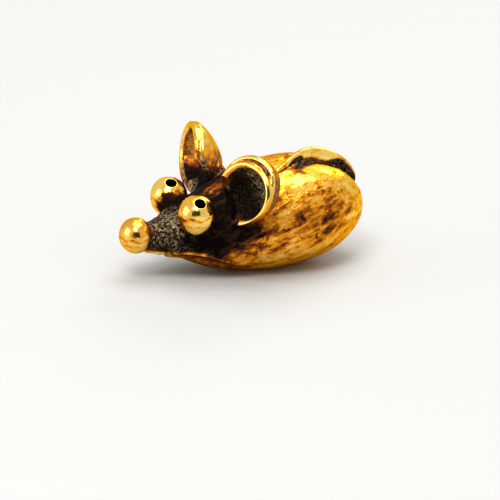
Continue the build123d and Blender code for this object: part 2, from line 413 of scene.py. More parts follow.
def brass(scene, name, streaking, mottling, graining, pitting, gloss):
    """Brass toned by its polish attribute: black in the hollows, brown on the way, bright where worn.

    Streaking, mottling, graining and pitting are how far each moves the tone; gloss is the roughness."""
    material = bpy.data.materials.get(name)
    if material is not None:
        return material
    finish = scene.mouse_finish
    material = bpy.data.materials.new(name)
    material.use_nodes = True
    tree = material.node_tree
    tree.nodes.clear()
    place = add_node(tree, "ShaderNodeTexCoord", "Object")
    polish = add_node(tree, "ShaderNodeAttribute", "Fac", attribute_name="polish")
    grit = add_node(tree, "ShaderNodeAttribute", "Fac", attribute_name="grit")
    # Streaks run along the body and rise towards the rump, as polishing strokes leave them.
    strokes = add_node(
        tree,
        "ShaderNodeMapping",
        "Vector",
        {"Vector": place, "Rotation": (0.0, -finish.slope, 0.0), "Scale": (finish.stretch, 1.0, 1.0)},
        vector_type="TEXTURE",
    )

    # Each layer of noise: where it lies, its size, detail and roughness, the part of its range that
    # counts, and what that part becomes. A streak, blotch or grain is half a wave wide.
    noises, layers = {}, {}
    for layer, where, size, detail, roughness, low, high, least, most in (
        ("streak", strokes, finish.streak, 4.0, 0.65, 0.3, 0.7, -streaking / 2, streaking / 2),
        ("mottle", strokes, finish.blotch, 6.0, 0.65, 0.32, 0.68, -mottling / 2, mottling / 2),
        ("grain", place, finish.grain, 2.0, 0.6, 0.3, 0.7, -graining / 2, graining / 2),
        ("pits", place, finish.pit, 2.0, 0.5, 0.6, 0.72, 0.0, pitting),
        ("glints", place, finish.glint, 3.0, 0.7, 0.48, 0.62, 0.0, 1.0),
    ):
        noises[layer] = add_node(
            tree,
            "ShaderNodeTexNoise",
            "Fac",
            {"Vector": where, "Scale": 0.5 / size, "Detail": detail, "Roughness": roughness},
        )
        layers[layer] = add_node(
            tree,
            "ShaderNodeMapRange",
            "Result",
            {"Value": noises[layer], "From Min": low, "From Max": high, "To Min": least, "To Max": most},
        )
    streak, mottle, grain, pits, glints = layers.values()

    # The tone strays from the polish by streaks, mottling, grain and pits, so that it looks worn in.
    worn = add_node(
        tree,
        "ShaderNodeMapRange",
        "Result",
        {"Value": polish, "From Min": 0.0, "From Max": STEADY.until, "To Min": STEADY.share, "To Max": 1.0},
    )
    stray = streak
    for operation, value in (("ADD", mottle), ("SUBTRACT", pits), ("MULTIPLY", worn), ("ADD", grain)):
        stray = add_node(tree, "ShaderNodeMath", "Value", {0: stray, 1: value}, operation=operation)
    tone = add_node(
        tree, "ShaderNodeMath", "Value", {0: polish, 1: stray}, operation="ADD", use_clamp=True
    )
    tint = add_node(tree, "ShaderNodeValToRGB", "Color", {"Fac": tone})
    stops = tint.node.color_ramp.elements
    for step, stop_colour in (
        (TONES.patina, finish.patina),
        (TONES.bronze, finish.bronze),
        (TONES.gold, finish.gold),
    ):
        stops.new(step).color = (*stop_colour, 1.0)
    stops[0].color = (*finish.black, 1.0)
    stops[-1].color = (*finish.bright, 1.0)
    glints = add_node(tree, "ShaderNodeMath", "Value", {0: glints, 1: grit}, operation="MULTIPLY")
    tint = add_node(
        tree,
        "ShaderNodeMix",
        "Result",
        {"Factor": glints, "A": tint, "B": (*finish.worn, 1.0)},
        data_type="RGBA",
    )

    # Patina is dull and grainy, and turns to smooth, bare metal as the tone rises.
    metal, roughness, depth = (
        add_node(
            tree,
            "ShaderNodeMapRange",
            "Result",
            {"Value": tone, "From Min": TONES.dull, "From Max": high, "To Min": dull, "To Max": clear},
        )
        for high, dull, clear in (
            (TONES.bare, 0.0, 1.0),
            (TONES.smooth, finish.dullness, gloss),
            (TONES.smooth, finish.relief, finish.polished_relief),
        )
    )
    metal = add_node(tree, "ShaderNodeMath", "Value", {0: metal, 1: glints}, operation="MAXIMUM")
    relief = add_node(
        tree,
        "ShaderNodeMath",
        "Value",
        {0: noises["streak"], 1: streaking * STREAK_RELIEF, 2: noises["grain"]},
        operation="MULTIPLY_ADD",
    )
    relief = add_node(tree, "ShaderNodeMath", "Value", {0: relief, 1: pits}, operation="SUBTRACT")
    relief = add_node(tree, "ShaderNodeMath", "Value", {0: relief, 1: depth}, operation="MULTIPLY")
    bump = add_node(tree, "ShaderNodeBump", "Normal", {"Height": relief, "Strength": 1.0, "Distance": 1.0})
    shader = add_node(
        tree,
        "ShaderNodeBsdfPrincipled",
        "BSDF",
        {
            "Base Color": tint,
            "Metallic": metal,
            "Specular IOR Level": PATINA_GLEAM,
            "Specular Tint": (*finish.edge, 1.0),
            "Roughness": roughness,
            "Normal": bump,
        },
    )
    add_node(tree, "ShaderNodeOutputMaterial", None, {"Surface": shader})
    return material


def patinated_brass(scene):
    """Cast brass, brushed by hand and left to tone."""
    # To the eye: satin gold, streaked along the body with brown and black, as on a worn antique.
    return brass(
        scene,
        "cast_brass_patinated",
        streaking=0.62,
        mottling=0.6,
        graining=0.15,
        pitting=0.25,
        gloss=0.24,
    )


def polished_brass(scene):
    """Brass turned and polished to a mirror, with slight toning."""
    # To the eye: bright balls with soft-edged reflections and faint brown clouds.
    return brass(
        scene,
        "brass_mirror_polished",
        streaking=0.15,
        mottling=0.42,
        graining=0.05,
        pitting=0.1,
        gloss=0.16,
    )


def ear_brass(scene):
    """Cast brass, polished on the rims and blackened in the hollow."""
    # To the eye: bright smooth rims around a black, grainy hollow.
    return brass(
        scene,
        "cast_brass_blackened_hollow",
        streaking=0.1,
        mottling=0.26,
        graining=0.2,
        pitting=0.12,
        gloss=0.16,
    )


def eye_places(scene):
    """Side, node, middle, seat axis and radius of each eye, the left one first."""
    lean = scene.mouse_balls.seat_lean
    places = []
    for name, side in SIDES.items():
        low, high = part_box(f"eye_{name}")
        radius = (high.x - low.x) / 2 * BENCH
        middle = (low + high) / 2 * BENCH
        middle.z = high.z * BENCH - radius
        seat = Vector((0.0, side * sin(lean), cos(lean)))
        eye = SimpleNamespace(name=name, node=f"eye_{name}", middle=middle, seat=seat, radius=radius)
        places.append(eye)
    return places


def ear_values(scene, name):
    """One ear's values: those that both share, its own without the side's name, and its round forms."""
    shared = vars(bench(scene.mouse_ears))
    own = {key.removeprefix(f"{name}_"): shared[key] for key in shared if key.startswith(name)}
    ear = SimpleNamespace(**shared, **own, name=name, side=SIDES[name])
    ear.hollow = Vector((-ear.hollow_inward, -ear.hollow_low, 0.0))
    ear.hollow_radius = ear.hollow_diameter / 2
    ear.bowl = (ear.hollow_radius * ear.hollow_radius + ear.depth * ear.depth) / (2 * ear.depth)
    ear.bowl_middle = ear.hollow + Vector((0, 0, ear.bowl - ear.depth))
    ear.scallop = Vector((cos(ear.scallop_turn), sin(ear.scallop_turn), 0)) * ear.scallop_offset
    ear.scallop.z = ear.scallop_ahead
    return ear


def ear_place(ear):
    """An ear's own axes on the bench: x away from the head, y up, z out of the cup."""
    side, turn, tilt = ear.side, ear.turn_out, ear.tilt_up
    open_way = Vector((-cos(turn) * cos(tilt), side * sin(turn) * cos(tilt), sin(tilt)))
    across = Vector((sin(turn), side * cos(turn), 0.0))
    up = open_way.cross(across) * (-side)
    place = Matrix((across, up, open_way)).transposed().to_4x4()
    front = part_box("nose")[0].x * BENCH
    place.translation = Vector((front + ear.setback, side * ear.offset, ear.height))
    return place


BODY_GRID = (240, 216)  # columns along the body and rows around it
SNOUT_CAP = 0.02  # share of the grid's columns that closes the end of the snout
COLLAR_TOP = 0.4  # height above an eye's middle, along its seat, up to which the skin belongs to it
NAPE = Vector((-1.8, -0.1, 4.35))  # middle of the patch between the ears: rubbed metal with a painted highlight

BODY_ZONES = SimpleNamespace(
    cheek=(3.0, 1.2),  # down the side of the head
    head=(-2.6, -0.4),  # back to the flank, along the top
    head_low=(-3.4, -0.3),  # the same along the cheek
    snout=(-3.2, -4.4),
    snout_top=(1.6, 2.5),
    nape=(0.0, 0.6),
    jaw_ridge=(0.0, 0.11),  # above the jaw's height, as the next two
    jaw_groove=(-0.3, 0.16),
    chin=(-0.1, -0.4),
    mouth=(0.0, 0.13),
    mouth_top=(0.15, -0.05),  # above the jaw's height
    track=(2.0, 2.9),  # behind the tail's tip, where the trench comes in
    track_height=(3.2, 4.5),
    trench=(0.55, 0.24),  # aside from the tail's middle, as the next
    trench_shade=(0.45, 0.36),
    collar=(0.0, 0.75),  # from the axis of an eye's seat
    eye_shade=(1.5, 0.9),  # towards the eye's middle
    ear_shade=(2.3, 3.5),  # from the ear's middle
    ear_shade_end=(-0.6, 0.6),  # back to the flank
    # The next five zones place a painted highlight on the upward-facing back, a painted reflection of the
    # ground on the downward-facing low flank and painted shade on the upright side.
    back_slope=(0.35, 0.75),
    back=(-1.0, 1.0),
    low_slope=(-0.76, 0.18),
    low_flank=(-1.5, 0.5),
    side_slope=(-0.25, 0.3),
    rump=(3.6, 5.6),
)

# The flank's tone, what each form adds to it or takes off it, and the tones of the ridge and the nape, both
# polished metal with a painted highlight.
# Painted shade by the eyes and ears, and painted shade with patina in the trench, take off a share.
BODY_TONES = SimpleNamespace(
    flank=0.56,
    # The back's painted highlight, the low flank's painted reflection of the ground and the side's painted
    # shade.
    back=0.18,
    low_flank=0.28,
    side=0.06,
    rump=0.2,
    head=0.56,
    chin=0.65,  # share of the head's darkness that the chin is spared, a painted reflection of the ground
    snout=0.12,
    snout_top=0.08,
    shade=0.85,
    trench=0.9,
    jaw_ridge=0.68,
    nape=0.4,
    nape_mottling=0.5,
)
# Grit of the snout, the share of it low down, how much of it patches keep and vary, and the trench's
BODY_GRIT = SimpleNamespace(snout=0.52, snout_low=0.3, patches=0.6, patchiness=1.2, trench=0.14)

# Waves to a bench millimetre and, for the waviness, how strong the finer ones are against the coarse.
BODY_WAVES = SimpleNamespace(coarse=0.9, head=3.6, head_share=0.9, nape=4.0, patches=1.7)
STROKES = SimpleNamespace(along=0.5, across=2.6, slope=0.36, share=0.5)


class MOUSE_OT_body(bpy.types.Operator):
    """Shape the cast body and head"""

    bl_idname = "mouse.body"
    bl_label = "Body"

    def execute(self, context):
        scene = context.scene
        skin = Skin(scene)

        def place(along, around):
            turn = tau * around - pi / 2
            if along < SNOUT_CAP:
                middle = (skin.point(skin.snout, 0) + skin.point(skin.snout, pi)) / 2
                return middle.lerp(skin.point(skin.snout, turn), along / SNOUT_CAP)
            reach = sin((along - SNOUT_CAP) / (1 - SNOUT_CAP) * pi / 2)
            return skin.point(skin.snout + (skin.rear - skin.snout) * reach, turn)

        piece = wrap_grid("mouse_body", *BODY_GRID, place)
        eyes = eye_places(scene)
        ears = [ear_place(ear_values(scene, name)).translation for name in SIDES]
        shine, grits = [], []
        for vertex, facing in zip(piece.data.vertices, piece.data.vertex_normals):
            spot, normal = vertex.co.copy(), facing.vector.copy()
            forms = self.forms(skin, spot)
            polish, grit = self.finish(forms, self.shade(eyes, ears, spot), spot, normal)
            shine.append(polish)
            grits.append(grit)
            spot += self.shift(skin.body, eyes, forms, spot, normal)
            spot.z = max(spot.z, 0.0)
            vertex.co = spot
        paint(piece, polish=shine, grit=grits)
        finish_piece(piece, "body", patinated_brass(scene))
        return {"FINISHED"}

    def forms(self, skin, spot):
        """How strongly each form of the casting shows at a place on the skin, from 0 to 1."""
        zone = BODY_ZONES
        x, y, z = spot
        low = ease(zone.cheek, z)
        head_end = [top + (cheek - top) * low for top, cheek in zip(zone.head, zone.head_low)]
        jaw_height, jaw_strength = skin.jaw(x)
        above_jaw = z - jaw_height
        from_mouth = x - skin.front - skin.body.mouth_setback
        beside_tail = abs(y - skin.tail_offset(x))
        on_track = ease(zone.track, x) * ease(zone.track_height, z)
        return SimpleNamespace(
            head=1 - ease(head_end, x),
            snout=ease(zone.snout, x),
            snout_top=ease(zone.snout_top, z),
            nape=hump(zone.nape, (spot - NAPE).length),
            jaw_ridge=hump(zone.jaw_ridge, above_jaw) * jaw_strength,
            jaw_groove=hump(zone.jaw_groove, above_jaw) * jaw_strength,
            chin=ease(zone.chin, above_jaw),
            mouth=hump(zone.mouth, from_mouth) * ease(zone.mouth_top, above_jaw),
            trench=hump(zone.trench, beside_tail) * on_track,
            trench_shade=hump(zone.trench_shade, beside_tail) * on_track,
        )

    def shift(self, body, eyes, forms, spot, normal):
        """How far the forms of the casting move a place off the smooth skin."""
        x, y, z = spot
        stroke = Vector((x * STROKES.along, y * STROKES.across, (z - STROKES.slope * x) * STROKES.across))
        waves = noise.noise(spot * BODY_WAVES.coarse)
        waves += STROKES.share * noise.noise(stroke) * (1 - forms.head)
        waves += BODY_WAVES.head_share * noise.noise(spot * BODY_WAVES.head) * forms.head
        rise = body.jaw_rise * (forms.jaw_ridge - body.groove_share * forms.jaw_groove)
        rise -= body.mouth_depth * forms.mouth
        rise -= body.trench_depth * forms.trench
        rise += body.unevenness * waves
        shift = normal * rise
        for eye in eyes:
            offset = spot - eye.middle
            along = offset.dot(eye.seat)
            if along < COLLAR_TOP:
                aside = (offset - eye.seat * along).length
                shift += eye.seat * body.collar_rise * hump(BODY_ZONES.collar, aside)
        return shift

    def shade(self, eyes, ears, spot):
        """How far a place lies in the painted shade of the corners by the eyes and ears, where the patina
        is also left unpolished.
        """
        zone = BODY_ZONES
        shade = 0.0
        for eye in eyes:
            offset = spot - eye.middle
            if offset.dot(eye.seat) < COLLAR_TOP:
                shade = max(shade, ease(zone.eye_shade, offset.length))
        for middle in ears:
            near = 1 - ease(zone.ear_shade, (spot - middle).length)
            shade = max(shade, near - ease(zone.ear_shade_end, spot.x))
        return shade

    def finish(self, forms, shade, spot, normal):
        """Polish and grit of a place: a dark head, hollows dark with painted shade and patina, a painted
        highlight along the back and a painted reflection on the low flank.
        """
        zone, tone, grits = BODY_ZONES, BODY_TONES, BODY_GRIT
        polish = tone.flank
        # Painted highlight on the upward-facing back, painted reflection of the ground on the low flank and
        # painted shade on the upright side, set by the way the skin faces.
        polish += tone.back * ease(zone.back_slope, normal.z) * ease(zone.back, spot.x)
        polish += tone.low_flank * hump(zone.low_slope, normal.z) * ease(zone.low_flank, spot.x)
        polish -= tone.side * hump(zone.side_slope, normal.z)
        polish += tone.rump * ease(zone.rump, spot.x)
        # The dark head, lighter under the jaw with a painted reflection of the ground.
        polish -= tone.head * forms.head * (1 - tone.chin * forms.chin)
        polish += forms.snout * (tone.snout - tone.snout_top * forms.snout_top)
        # Painted shade by the eyes and ears, and painted shade with patina in the trench beside the tail.
        polish *= (1 - tone.shade * shade) * (1 - tone.trench * forms.trench_shade)
        # The jaw ridge is polished metal with a painted highlight along it.
        polish = max(polish, tone.jaw_ridge * forms.jaw_ridge * (1 - forms.mouth))
        # The patch between the ears is rubbed metal with a painted highlight.
        nape_gleam_and_wear = tone.nape + tone.nape_mottling * noise.noise(spot * BODY_WAVES.nape)
        polish = max(polish, forms.nape * nape_gleam_and_wear)

        patches = clamp(grits.patches + grits.patchiness * noise.noise(spot * BODY_WAVES.patches))
        grit = grits.snout * forms.snout * patches
        grit *= grits.snout_low + (1 - grits.snout_low) * forms.snout_top
        grit *= (1 - forms.jaw_ridge) * (1 - forms.chin)
        return clamp(polish), grit + grits.trench * forms.trench_shade


BALL_GRID = {"segments": 96, "ring_count": 72}
BALL_CREASE = radians(40)  # sharper edges than this stay sharp
# Waves to a bench millimetre, how strong the fine ones are, and how many radii away their noise is read,
# so that balls of two sizes differ
RIPPLES = SimpleNamespace(coarse=1.4, fine=4.0, fine_share=0.35, apart=9)

DRILL = SimpleNamespace(
    slack=0.001,  # for picking vertices by the upward part of their way from the ball's middle
    outside=0.95,  # share of the radius beyond which a vertex lies outside
    floor=(0.9, 0.9, 0.25),  # scale of the drilled floor, to flatten it
    drop=0.05,  # from the floor down to the middle of that scaling
    edge_steps=4,
    bore=1.02,  # share of the pupil's radius that stays black
    bore_top=0.93,  # share of the ball's radius up to which it does
)

# The way that each eye's darker side faces, with painted shade and dark reflection, and the zone over which
# it comes in: the cosine from that way, with waves added to it
PAINTED_SHADE_SIDES = {
    "left": (Vector((0.88, -0.42, -0.15)).normalized(), (0.88, 1.13)),
    "right": (Vector((-0.23, -0.92, -0.31)).normalized(), (0.5, 0.75)),
}
# The bands below a ball's middle are a painted reflection, set by the way each part of the ball faces.
BALL_ZONES = SimpleNamespace(
    band_slope=(-0.06, 0.07), low_band_slope=(-0.42, 0.06), neck=(-0.75, -0.3)  # the neck in radii
)
# The toning takes off an eye's tone on its side of painted shade and dark reflection.
BALL_TONES = SimpleNamespace(
    eye=0.92, nose=0.86, toning=0.8, band=0.52, low_band=0.36, neck=0.1, front=0.72
)
# Waves over a ball of radius 1 and how strong they are, for the edge of the painted shade and for the
# painted reflection bands
SHADE_EDGE_WAVES = ((4.0, 0.16), (11.0, 0.1))
REFLECTION_BAND_WAVER = (2.2, 0.14)
REFLECTION_BAND_STRENGTH = SimpleNamespace(waves=3.0, middle=0.7, spread=0.6)


class MOUSE_OT_balls(bpy.types.Operator):
    """Shape the nose and the eyes with their drilled pupils"""

    bl_idname = "mouse.balls"
    bl_label = "Nose and eyes"

    def execute(self, context):
        scene = context.scene
        balls = bench(scene.mouse_balls)
        for eye in eye_places(scene):
            self.eye(scene, balls, eye)
        self.nose(scene, balls)
        return {"FINISHED"}

    def ball(self, name, radius, ripple):
        """A turned ball with the slight ripple of hand polishing, which only takes metal off."""
        piece = add_shape(name, bpy.ops.mesh.primitive_uv_sphere_add, radius=radius, **BALL_GRID)
        most = 1 + RIPPLES.fine_share
        for vertex in piece.data.vertices:
            seed = vertex.co + Vector((radius * RIPPLES.apart, 0, 0))
            swell = noise.noise(seed * RIPPLES.coarse)
            swell += RIPPLES.fine_share * noise.noise(seed * RIPPLES.fine)
            vertex.co *= 1 - ripple * (most + swell) / (2 * most)
        return piece

    def eye(self, scene, balls, eye):
        """A bead that hangs a little below its middle, with its pupil drilled along a lean of its own."""
        piece = self.ball(f"mouse_{eye.node}", eye.radius, balls.ripple)
        self.drill(piece, balls, eye.radius)
        ahead, lean = balls.pupil_ahead, getattr(balls, f"{eye.name}_pupil_lean")
        pupil = Vector((-sin(ahead), -sin(lean) * cos(ahead), cos(lean) * cos(ahead)))
        turned = pupil.to_track_quat("Z", "Y").to_matrix()
        shine = []
        for vertex in piece.data.vertices:
            shine.append(self.eye_polish(balls, eye, turned, vertex.co))
            spot = turned @ vertex.co
            spot.z *= balls.eye_drop if spot.z < 0 else 1.0
            vertex.co = turned.inverted() @ spot
        paint(piece, polish=shine)
        piece.matrix_world = Matrix.Translation(eye.middle) @ turned.to_4x4()
        finish_piece(piece, eye.node, polished_brass(scene), BALL_CREASE)

    def drill(self, piece, balls, radius):
        """Sinks the pupil into the top of the ball and rounds its edge."""
        edge = cos(balls.pupil_angle)
        vertices = piece.data.vertices
        pick(piece, [v.index for v in vertices if v.co.normalized().z > edge - DRILL.slack])
        bpy.ops.mesh.extrude_region_move(TRANSFORM_OT_translate={"value": (0, 0, -balls.pupil_depth)})
        floor = (0, 0, radius - balls.pupil_depth - DRILL.drop)
        bpy.ops.transform.resize(value=DRILL.floor, center_override=floor)
        bpy.ops.object.mode_set(mode="OBJECT")
        outside = [v for v in piece.data.vertices if v.co.length > radius * DRILL.outside]
        pick(piece, [v.index for v in outside if abs(v.co.normalized().z - edge) < 2 * DRILL.slack])
        bpy.ops.mesh.bevel(offset=balls.pupil_edge, segments=DRILL.edge_steps, affect="EDGES")
        bpy.ops.object.mode_set(mode="OBJECT")

    def eye_polish(self, balls, eye, turned, spot):
        """Polish of a place on an eye: black in the bore, bright outside, darker on one side with painted
        shade and dark reflection.
        """
        aside = sqrt(spot.x**2 + spot.y**2)
        bore = eye.radius * sin(balls.pupil_angle) * DRILL.bore
        if aside < bore and 0 < spot.z < eye.radius * DRILL.bore_top:
            return 0.0
        way = spot.normalized()
        # Painted shade and dark reflection on the side of the eye that faces this way.
        shade_way, shade_zone = PAINTED_SHADE_SIDES[eye.name]
        lie = way.dot(turned.inverted() @ shade_way)
        for waves, strength in SHADE_EDGE_WAVES:
            lie += strength * noise.noise(way * waves)
        toned = BALL_TONES.eye - BALL_TONES.toning * ease(shade_zone, lie)
        return min(self.banded(turned @ way, BALL_TONES.eye), toned)

    def banded(self, way, bright):
        """Polish of a ball towards the given way: darker in two wavering bands of painted reflection below
        its middle.
        """
        waves, strength = REFLECTION_BAND_WAVER
        waver = strength * noise.noise(way * waves)
        # Painted reflection: two darker bands below the ball's middle.
        band = BALL_TONES.band * hump(BALL_ZONES.band_slope, way.z + waver)
        band += BALL_TONES.low_band * hump(BALL_ZONES.low_band_slope, way.z - waver)
        patches = REFLECTION_BAND_STRENGTH.spread * noise.noise(way * REFLECTION_BAND_STRENGTH.waves)
        return bright - band * (REFLECTION_BAND_STRENGTH.middle + patches)

    def nose(self, scene, balls):
        """A ball, a little shallower than it is wide, with a neck that runs back into its cup, dark with
        painted shade and patina.
        """
        low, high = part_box("nose")
        radius = (high.z - low.z) / 2 * BENCH
        piece = self.ball("mouse_nose", radius, balls.ripple)
        vertices = piece.data.vertices
        pick(piece, [v.index for v in vertices if v.co.normalized().z < -cos(balls.neck_angle)])
        bpy.ops.mesh.extrude_region_move(TRANSFORM_OT_translate={"value": (0, 0, -balls.neck_length)})
        bpy.ops.object.mode_set(mode="OBJECT")
        middle = Vector((low.x * BENCH + radius, 0.0, (low.z + high.z) / 2 * BENCH))
        place = Matrix.Translation(middle) @ Matrix.Rotation(-pi / 2, 4, "Y")
        shine = []
        for vertex in piece.data.vertices:
            # The neck is dark with painted shade and patina where the nose meets the snout.
            neck = BALL_TONES.neck + BALL_TONES.front * ease(BALL_ZONES.neck, vertex.co.z / radius)
            shine.append(min(neck, self.banded(place.to_3x3() @ vertex.co.normalized(), BALL_TONES.nose)))
            vertex.co.z = radius - (radius - vertex.co.z) * balls.nose_depth
            vertex.co.x *= balls.nose_height
        paint(piece, polish=shine)
        piece.matrix_world = place
        finish_piece(piece, "nose", polished_brass(scene), BALL_CREASE)


EAR_GRID = (110, 200)  # columns from the hollow to the back and rows around
EAR_BALL_GRID = {"segments": 72, "ring_count": 48}
RIM_START, BACK_START = 0.36, 0.76  # shares of the grid's columns
PULL_ZONE = (0.2, 1.0)  # cosine from the way that the rim is drawn in
SOFTENING = (0.5, 4)  # factor and rounds
EAR_BUMPS = ((7.5, 1.0), (16.0, 0.5))  # waves to a bench millimetre and how strong they are

# Places are in an ear's own axes: x away from the head, y up and z out of the cup. The slant is x plus y.
EAR_ZONES = SimpleNamespace(
    bowl=(0.09, 0.03),  # off the bowl's sphere
    bowl_top=(0.0, -0.1),
    scallop=(0.16, 0.06),  # off the scallop's sphere
    scallop_top=(-0.3, -0.6),
    ridge_foot=(-0.14, 0.02),
    smooth_tone=(0.1, 0.4),  # tones of the hollow's wall between which its grain ends
    rough_tone=(0.6, 0.2),
    speckle_tone=(0.6, 0.4),
)
EAR_ROUGHNESS = 0.5  # of toned metal against the hollow

LEFT_EAR = SimpleNamespace(
    ridge_reach=0.2,
    bead=(-0.1, 0.18),  # from the rim
    bead_foot=(-0.42, -0.22),
    groove=(2.0, 1.3),  # where the groove is dark, along the slant
    groove_tones=(0.62, 0.42),  # its tone, and what the dark takes off
    tip=Vector((-1.55, 0.4, -0.1)),  # the rubbed tip of the rim beside the head
    tip_zone=(0.0, 0.34),
    back=(0.6, 1.6),  # up the back
    back_lean=0.2,
    back_tones=(0.42, 0.46),  # its tone, and what the top adds
    back_start=(-0.3, -0.5),
    wall_top=(-0.5, -0.1),
    wall_slant=(-0.9, 0.9),
    wall_tones=(0.2, 0.1),  # at the top and along the slant
    grit=(-0.5, 1.5),  # along the slant
    least_grit=0.02,
    speckle=0.5,
)
RIGHT_EAR = SimpleNamespace(
    ridge=(0.08, 0.12),  # from the hollow's edge
    ridge_rise=(-1.5, 0.5),  # up the ear
    ridge_tone=0.95,
    back=(0.2, 1.2),  # up the back
    # its tone, and what the top adds: a painted highlight over the toned back
    back_tones=(0.3, 0.58),
    streaks=(1.4, 0.6),  # down the back
    streak_waves=(4.0, 1.7, 4.0),
    streak_tone=0.45,
    wall=((-0.9, 0.2), (-1.0, -0.45), (-1.0, -0.5)),  # along x, y and z
    wall_tone=0.42,
    grit=(-0.6, 0.2),  # up the hollow
    most_grit=0.45,
    speckle=0.7,
)


class MOUSE_OT_ears(bpy.types.Operator):
    """Shape the two cupped ears with their doubled rims"""

    bl_idname = "mouse.ears"
    bl_label = "Ears"

    def execute(self, context):
        for name in SIDES:
            self.ear(context.scene, ear_values(context.scene, name))
        return {"FINISHED"}

    def ear(self, scene, ear):
        """A cup with a root towards the head and a scallop where it opens to it."""

        def place(along, around):
            return self.cup(ear, along, tau * around)

        piece = wrap_grid(f"mouse_ear_{ear.name}", *EAR_GRID, place)
        root_spot = Vector((-ear.root_inward, -ear.root_drop, -ear.root_behind))
        root = self.ball(ear.root_diameter / 2, root_spot)
        room = self.ball(ear.bowl + ear.casting, ear.bowl_middle)
        bite = self.ball(ear.scallop_diameter / 2, ear.scallop)
        self.carve(root, room, "DIFFERENCE")
        self.carve(piece, root, "UNION")
        self.carve(piece, bite, "DIFFERENCE")

        # Metal fills and rounds every corner in the casting: the cup is recast at its finest detail.
        recast = piece.modifiers.new("recast", "REMESH")
        recast.mode, recast.voxel_size = "VOXEL", ear.casting
        bpy.ops.object.modifier_apply(modifier=recast.name)
        soften = piece.modifiers.new("soften", "SMOOTH")
        soften.factor, soften.iterations = SOFTENING
        bpy.ops.object.modifier_apply(modifier=soften.name)

        shine, grits = [], []
        for vertex, facing in zip(piece.data.vertices, piece.data.vertex_normals):
            polish, rough, grit = self.finish(ear, vertex.co)
            bumps = sum(strength * noise.noise(vertex.co * waves) for waves, strength in EAR_BUMPS)
            vertex.co += facing.vector * ear.grain_depth * rough * bumps
            shine.append(polish)
            grits.append(grit)
        paint(piece, polish=shine, grit=grits)
        piece.matrix_world = ear_place(ear)
        if ear.side > 0:
            # The right ear's axes are a mirror image, which turns its faces inside out.
            bpy.ops.object.mode_set(mode="EDIT")
            bpy.ops.mesh.select_all(action="SELECT")
            bpy.ops.mesh.flip_normals()
            bpy.ops.object.mode_set(mode="OBJECT")
        finish_piece(piece, f"ear_{ear.name}", ear_brass(scene))

    def ball(self, radius, spot):
        """A ball to join to the cup or to cut it with."""
        sphere = bpy.ops.mesh.primitive_uv_sphere_add
        return add_shape("ear_tool", sphere, radius=radius, location=spot, **EAR_BALL_GRID)

    def carve(self, piece, tool, operation):
        """Joins the tool to the piece or cuts it away, and clears the tool."""
        take(piece)
        step = piece.modifiers.new(operation.lower(), "BOOLEAN")
        step.operation, step.solver, step.object = operation, "EXACT", tool
        bpy.ops.object.modifier_apply(modifier=step.name)
        bpy.data.objects.remove(tool, do_unlink=True)

    def rim_reach(self, ear, turn):
        """From the ear's middle to the outside of its rim."""
        return ear.diameter / 2 - ear.pull * ease(PULL_ZONE, cos(turn - ear.pull_turn))

    def cup(self, ear, along, turn):
        """A place on the cup in the ear's axes: from the hollow's middle over the rim to the back's."""
        aim = Vector((cos(turn), sin(turn), 0.0))
        edge = ear.hollow + aim * ear.hollow_radius
        rim = aim * self.rim_reach(ear, turn)
        if along < RIM_START:
            aside = ear.hollow_radius * sin(along / RIM_START * pi / 2)
            deep = sqrt(ear.bowl * ear.bowl - aside * aside) - (ear.bowl - ear.depth)
            return ear.hollow + aim * aside + Vector((0, 0, -deep))
        if along < BACK_START:
            part = (along - RIM_START) / (BACK_START - RIM_START)
            return edge.lerp(rim, part) + Vector((0, 0, self.rim_height(ear, (rim - edge).length, part)))
        part = (along - BACK_START) / (1 - BACK_START)
        straight = ear.flatness * max(sin(turn), 0.0)
        aside = cos(part * pi / 2) * (1 - straight) + (1 - part) * straight
        deep = sin(part * pi / 2) * (1 - straight) + part * straight
        drop = ear.bead_setback + (ear.back_depth - ear.bead_setback) * deep
        return rim * aside + Vector((0, 0, -drop))

    def rim_height(self, ear, width, part):
        """Height of the doubled rim a part of the way across it: ridge, groove and bead."""
        ridge = (width * part - ear.ridge_width / 2) / (ear.ridge_width / 2)
        bead = (width * (part - 1) + ear.bead_width / 2) / (ear.bead_width / 2)
        heights = [ear.groove_rise * (1 - part) - ear.bead_setback]
        if abs(ridge) < 1:
            heights.append(ear.ridge_rise * cos(ridge * pi / 2))
        if abs(bead) < 1:
            heights.append(ear.bead_rise * cos(bead * pi / 2) - ear.bead_setback)
        return max(heights)

    def finish(self, ear, spot):
        """Polish, roughness and grit of a place: black in the hollow, bright on the rim, toned behind."""
        zone = EAR_ZONES
        in_bowl = ease(zone.bowl, (spot - ear.bowl_middle).length - ear.bowl) * ease(zone.bowl_top, spot.z)
        # Darker where the cup opens to the head: painted shade along with the hollow's black patina.
        bitten = ease(zone.scallop, abs((spot - ear.scallop).length - ear.scallop_diameter / 2))
        bitten *= ease(zone.scallop_top, spot.z)
        if ear.side < 0:
            polish, wall, grit, tip = self.left_tones(ear, spot, in_bowl)
            speckle = LEFT_EAR.speckle
            bitten *= 1 - tip
        else:
            polish, wall, grit = self.right_tones(ear, spot, in_bowl)
            speckle = RIGHT_EAR.speckle
        dark = max(in_bowl, bitten)
        polish = polish * (1 - dark) + dark * wall
        rough = dark * (1 - ease(zone.smooth_tone, wall))
        rough = max(rough, EAR_ROUGHNESS * ease(zone.rough_tone, polish))
        speckle *= ease(zone.speckle_tone, polish) * (1 - dark)
        return polish, rough, max(grit * in_bowl, speckle)

    def from_hollow(self, ear, spot):
        """How far a place lies outside the hollow's edge."""
        return (Vector((spot.x, spot.y, 0)) - ear.hollow).length - ear.hollow_radius

